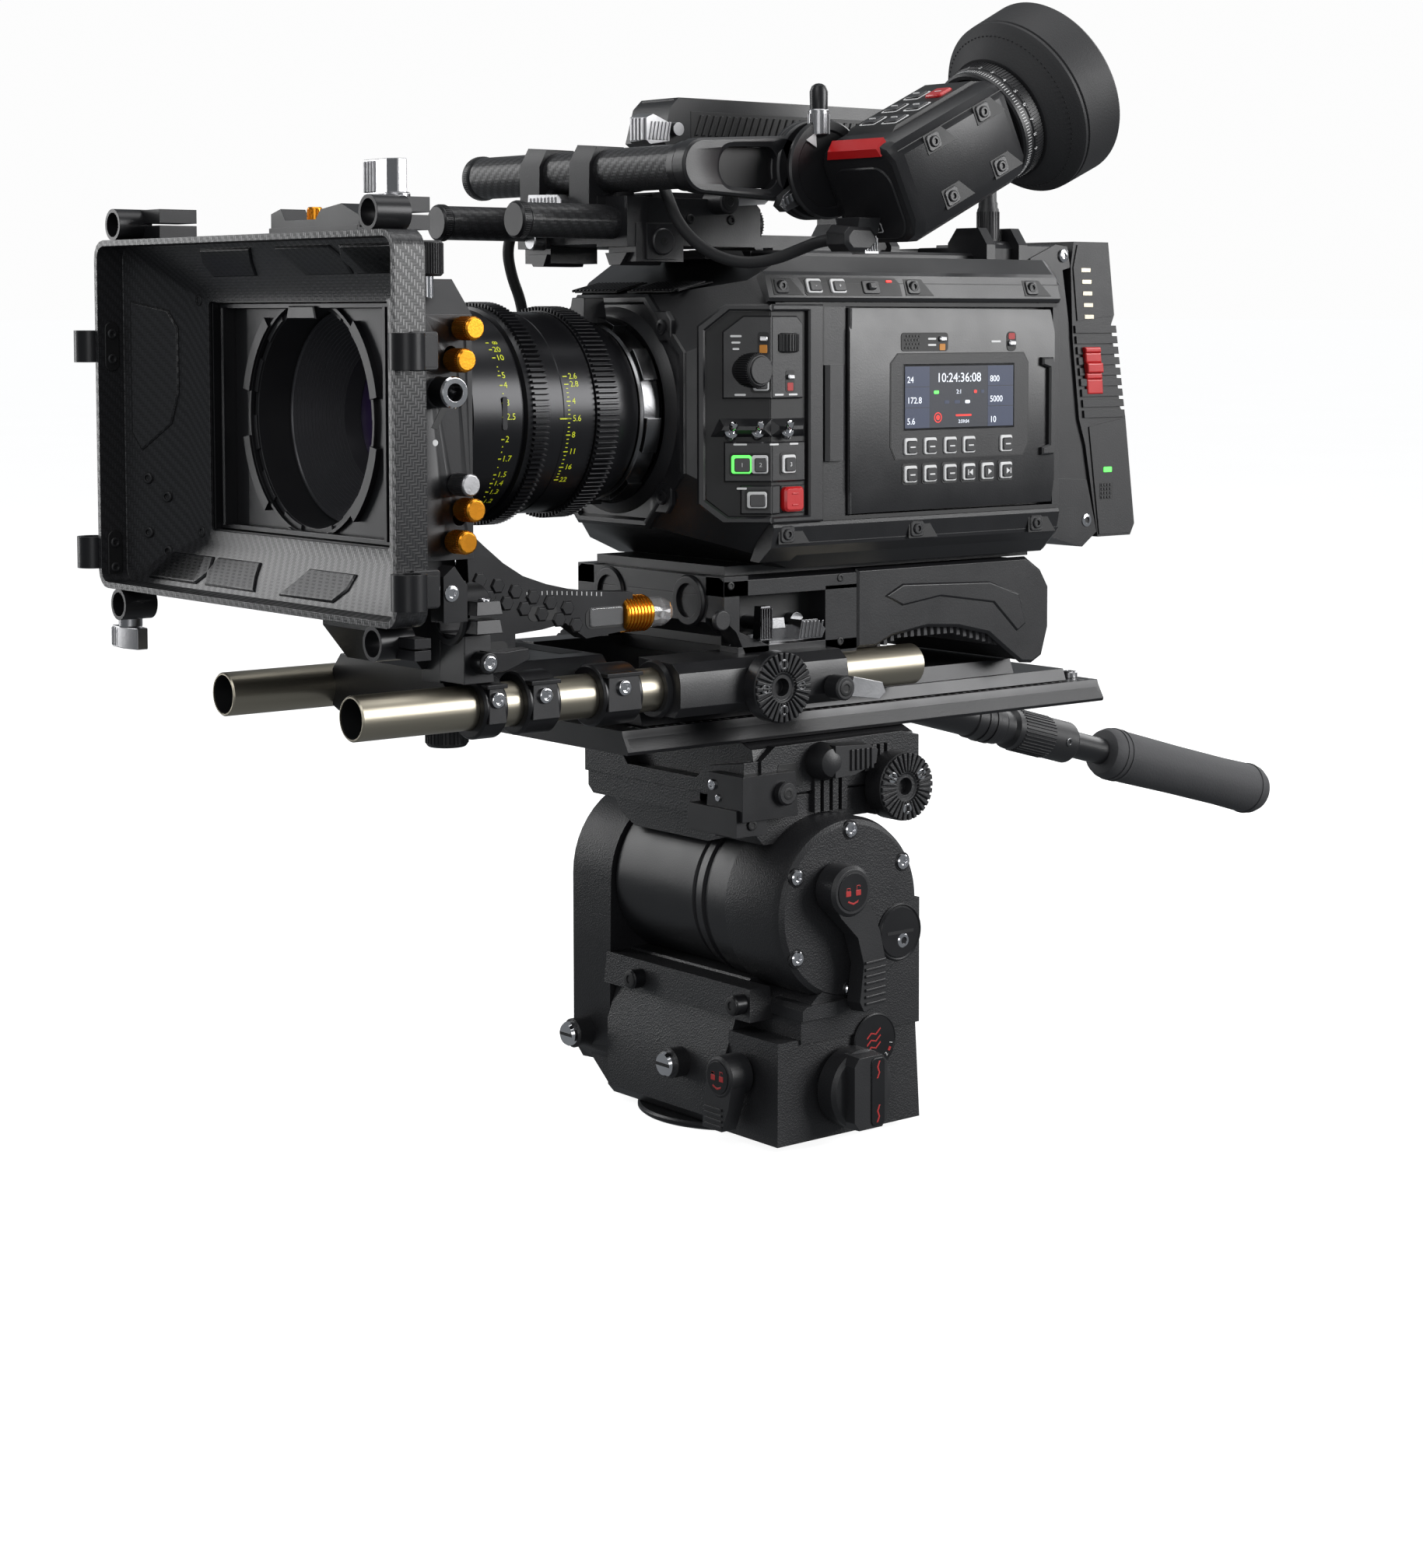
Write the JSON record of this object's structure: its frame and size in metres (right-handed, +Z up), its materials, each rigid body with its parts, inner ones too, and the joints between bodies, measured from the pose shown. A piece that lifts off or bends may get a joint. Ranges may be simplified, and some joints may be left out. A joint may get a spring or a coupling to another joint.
{
  "type": "cinema camera rig",
  "caption": "Cinema camera with lens, carbon matte box, rods, bridge plate, viewfinder and battery on a fluid head with a pan bar.",
  "frame": {"origin": "centre of the fluid head base, on its underside", "axes": "+Z up, +X towards the operator side with the screen, -Y the way the lens looks"},
  "size_m": [0.2995, 0.7433, 0.5117],
  "materials": {
    "head_casting": "satin crackle",
    "black_plastic": "matte",
    "bar_black": "satin",
    "grip_rubber": "matte",
    "black_anodised": "satin anodised",
    "camera_shell": "satin",
    "pad_rubber": "matte",
    "titanium": "brushed",
    "amber_metal": "satin anodised",
    "carbon_fibre": "satin weave",
    "silver_metal": "satin",
    "lens_black": "satin anodised",
    "coated_glass": "coated",
    "steel_ring": "satin",
    "key_white": "gloss",
    "key_red": "gloss",
    "battery_plastic": "matte",
    "chrome": "polished",
    "cable_rubber": "matte"
  },
  "bodies": {
    "base": {"head_base": "head_casting"},
    "pan_housing": {"head_yoke": "head_casting"},
    "pan_drag": {"pan_drag_knob": "black_plastic"},
    "pan_lock": {"pan_lock_lever": "black_plastic"},
    "tilt_lock": {"tilt_lock_lever": "black_plastic"},
    "platform": {"tilt_platform": "head_casting", "platform_clamp": "head_casting"},
    "plate_lever": {"platform_lever": "black_plastic"},
    "bar": {"pan_bar_tube": "bar_black"},
    "bar_extension": {"pan_bar_extension": "bar_black", "pan_bar_grip": "grip_rubber"},
    "dovetail": {"dovetail_plate": "black_anodised"},
    "bridge": {"bridge_plate": "camera_shell", "shoulder_pad": "pad_rubber"},
    "slide_lock": {"slide_lock_lever": "silver_metal"},
    "slide_release": {"slide_release_button": "silver_metal"},
    "rod_lock": {"rod_clamp_lever": "black_plastic"},
    "rods": {"support_rods": "titanium"},
    "matte_box": {"rod_bridge": "black_anodised", "lens_cradle": "black_anodised", "matte_box_hood": "carbon_fibre", "matte_box_stage": "black_anodised", "donut_ring": "pad_rubber", "flag_clamps": "black_anodised"},
    "rod_bracket_lever": {"bridge_lever": "black_anodised"},
    "eject": {"eject_slider": "amber_metal"},
    "flag_lever_upper": {"flag_lever_top": "silver_metal"},
    "flag_lever_lower": {"flag_lever_bottom": "silver_metal"},
    "tray_pins": {"filter_knobs": "amber_metal"},
    "stage_lock": {"stage_lock_knob": "black_plastic"},
    "camera": {"camera_body": "camera_shell", "antennas": "black_plastic", "top_handle": "camera_shell", "lens_barrel": "lens_black", "lens_glass": "coated_glass", "viewfinder_mount": "camera_shell", "viewfinder_cable": "cable_rubber"},
    "focus": {"focus_ring": "lens_black"},
    "iris": {"iris_ring": "lens_black"},
    "mount_lock": {"mount_lock_ring": "steel_ring"},
    "door": {"monitor_door": "camera_shell"},
    "dial": {"control_dial": "black_plastic"},
    "wheel": {"volume_wheel": "black_plastic"},
    "toggles": {"toggle_switches": "chrome"},
    "keys": {"panel_keys": "key_white"},
    "record": {"record_button": "key_red"},
    "battery_pack": {"battery": "battery_plastic"},
    "battery_release": {"battery_latch": "key_red"},
    "handle_lock": {"handle_lever": "silver_metal"},
    "finder_rods": {"viewfinder_rods": "carbon_fibre"},
    "finder_lock": {"mount_lever": "silver_metal"},
    "finder_tube": {"cross_tube": "carbon_fibre"},
    "finder_arm": {"viewfinder_arm": "camera_shell", "viewfinder_lever": "silver_metal"},
    "finder": {"viewfinder_body": "camera_shell", "eyecup": "pad_rubber", "viewfinder_plug": "cable_rubber"},
    "diopter": {"diopter_ring": "black_plastic"},
    "finder_keys": {"viewfinder_keys": "key_white"}
  },
  "joints": [
    {"name": "pan", "type": "hinge", "parent": "base", "child": "pan_housing", "pos_m": [0, 0, 0.01], "axis": [0, 0, 1], "continuous": true},
    {"name": "pan_drag_turn", "type": "hinge", "parent": "pan_housing", "child": "pan_drag", "pos_m": [0.09, -0.002, 0.026], "axis": [1, 0, 0], "range_deg": [0, 270]},
    {"name": "pan_lock_turn", "type": "hinge", "parent": "pan_housing", "child": "pan_lock", "pos_m": [0.055, -0.047, 0.033], "axis": [0, 1, 0], "range_deg": [0, 60]},
    {"name": "tilt_lock_turn", "type": "hinge", "parent": "pan_housing", "child": "tilt_lock", "pos_m": [0.09, -0.01, 0.117], "axis": [1, 0, 0], "range_deg": [0, 50]},
    {"name": "tilt", "type": "hinge", "parent": "pan_housing", "child": "platform", "pos_m": [0, 0.0005, 0.1056], "axis": [1, 0, 0], "range_deg": [-60, 60]},
    {"name": "plate_lever_turn", "type": "hinge", "parent": "platform", "child": "plate_lever", "pos_m": [0.068, -0.002, 0.17], "axis": [1, 0, 0], "range_deg": [0, 90]},
    {"name": "bar_angle", "type": "hinge", "parent": "platform", "child": "bar", "pos_m": [-0.093, 0.04, 0.1567], "axis": [1, 0, 0], "range_deg": [-60, 45]},
    {"name": "bar_reach", "type": "slide", "parent": "bar", "child": "bar_extension", "axis": [0, 0.965, -0.2622], "range_m": [-0.026, 0.06]},
    {"name": "plate_slide", "type": "slide", "parent": "platform", "child": "dovetail", "axis": [0, 1, 0], "range_m": [-0.04, 0.04]},
    {"name": "bridge_slide", "type": "slide", "parent": "dovetail", "child": "bridge", "axis": [0, 1, 0], "range_m": [-0.014, 0.0075]},
    {"name": "slide_lock_turn", "type": "hinge", "parent": "bridge", "child": "slide_lock", "pos_m": [0.058, -0.03, 0.235], "axis": [1, 0, 0], "range_deg": [0, 60]},
    {"name": "release_press", "type": "slide", "parent": "bridge", "child": "slide_release", "axis": [-1, 0, 0], "range_m": [0, 0.0012], "stiffness_N_per_m": 800},
    {"name": "rod_lock_turn", "type": "hinge", "parent": "bridge", "child": "rod_lock", "pos_m": [0.075, -0.002, 0.206], "axis": [1, 0, 0], "range_deg": [-60, 0]},
    {"name": "rods_slide", "type": "slide", "parent": "bridge", "child": "rods", "axis": [0, 1, 0], "range_m": [-0.03, 0]},
    {"name": "bracket_slide", "type": "slide", "parent": "rods", "child": "matte_box", "axis": [0, 1, 0], "range_m": [-0.03, 0]},
    {"name": "bracket_lever_turn", "type": "hinge", "parent": "matte_box", "child": "rod_bracket_lever", "pos_m": [0.064, -0.186, 0.23], "axis": [1, 0, 0], "range_deg": [0, 90]},
    {"name": "eject_slide", "type": "slide", "parent": "matte_box", "child": "eject", "axis": [0, 1, 0], "range_m": [0, 0.006]},
    {"name": "flag_lever_top_turn", "type": "hinge", "parent": "matte_box", "child": "flag_lever_upper", "pos_m": [0.09, -0.242, 0.42], "axis": [0, 0, 1], "range_deg": [-60, 60]},
    {"name": "flag_lever_bottom_turn", "type": "hinge", "parent": "matte_box", "child": "flag_lever_lower", "pos_m": [-0.116, -0.252, 0.237], "axis": [0, 0, 1], "range_deg": [-40, 40]},
    {"name": "tray_pins_pull", "type": "slide", "parent": "matte_box", "child": "tray_pins", "axis": [1, 0, 0], "range_m": [0, 0.003], "stiffness_N_per_m": 400},
    {"name": "stage_lock_turn", "type": "hinge", "parent": "matte_box", "child": "stage_lock", "pos_m": [0.086, -0.226, 0.395], "axis": [0, 0, 1], "continuous": true},
    {"name": "camera_slide", "type": "slide", "parent": "bridge", "child": "camera", "axis": [0, 1, 0], "range_m": [0, 0.012]},
    {"name": "focus_turn", "type": "hinge", "parent": "camera", "child": "focus", "pos_m": [0, -0.162, 0.33], "axis": [0, 1, 0], "range_deg": [-150, 150]},
    {"name": "iris_turn", "type": "hinge", "parent": "camera", "child": "iris", "pos_m": [0, -0.108, 0.33], "axis": [0, 1, 0], "range_deg": [-45, 45]},
    {"name": "mount_lock_turn", "type": "hinge", "parent": "camera", "child": "mount_lock", "pos_m": [0, -0.082, 0.33], "axis": [0, 1, 0], "range_deg": [0, 60]},
    {"name": "door_swing", "type": "hinge", "parent": "camera", "child": "door", "pos_m": [0.0755, 0.0035, 0.33], "axis": [0, 0, -1], "range_deg": [0, 90]},
    {"name": "dial_turn", "type": "hinge", "parent": "camera", "child": "dial", "pos_m": [0.07, -0.0488, 0.3487], "axis": [1, 0, 0], "continuous": true},
    {"name": "wheel_turn", "type": "hinge", "parent": "camera", "child": "wheel", "pos_m": [0.072, -0.033, 0.36], "axis": [0, 0, 1], "continuous": true},
    {"name": "toggles_flick", "type": "slide", "parent": "camera", "child": "toggles", "axis": [0, 0, 1], "range_m": [-0.001, 0.001], "stiffness_N_per_m": 200},
    {"name": "keys_press", "type": "slide", "parent": "camera", "child": "keys", "axis": [-1, 0, 0], "range_m": [0, 0.0008], "stiffness_N_per_m": 400},
    {"name": "record_press", "type": "slide", "parent": "camera", "child": "record", "axis": [-1, 0, 0], "range_m": [0, 0.001], "stiffness_N_per_m": 400},
    {"name": "battery_lift", "type": "slide", "parent": "camera", "child": "battery_pack", "axis": [0, -0.1692, 0.9856], "range_m": [0, 0.03]},
    {"name": "battery_latch_press", "type": "slide", "parent": "battery_pack", "child": "battery_release", "axis": [-1, 0, 0], "range_m": [0, 0.0015], "stiffness_N_per_m": 800},
    {"name": "handle_lever_turn", "type": "hinge", "parent": "camera", "child": "handle_lock", "pos_m": [0, -0.047, 0.456], "axis": [1, 0, 0], "range_deg": [-30, 30]},
    {"name": "finder_rods_slide", "type": "slide", "parent": "camera", "child": "finder_rods", "axis": [0, 1, 0], "range_m": [-0.03, 0]},
    {"name": "finder_lock_turn", "type": "hinge", "parent": "camera", "child": "finder_lock", "pos_m": [0, -0.106, 0.421], "axis": [0, 1, 0], "range_deg": [-90, 90]},
    {"name": "finder_tube_slide", "type": "slide", "parent": "camera", "child": "finder_tube", "axis": [1, 0, 0], "range_m": [-0.005, 0.03]},
    {"name": "finder_arm_swing", "type": "hinge", "parent": "finder_tube", "child": "finder_arm", "pos_m": [0.084, -0.0915, 0.4357], "axis": [1, 0, 0], "range_deg": [0, 60]},
    {"name": "finder_tilt", "type": "hinge", "parent": "finder_arm", "child": "finder", "pos_m": [0.092, -0.03, 0.4355], "axis": [1, 0, 0], "range_deg": [-45, 45], "deforming": ["viewfinder_cable"]},
    {"name": "diopter_turn", "type": "hinge", "parent": "finder", "child": "diopter", "pos_m": [0.123, -0.027, 0.423], "axis": [0, 0.9026, 0.4305], "range_deg": [-150, 150]},
    {"name": "finder_keys_press", "type": "slide", "parent": "finder", "child": "finder_keys", "axis": [0, 0.4305, -0.9026], "range_m": [0, 0.0008], "stiffness_N_per_m": 300}
  ]
}
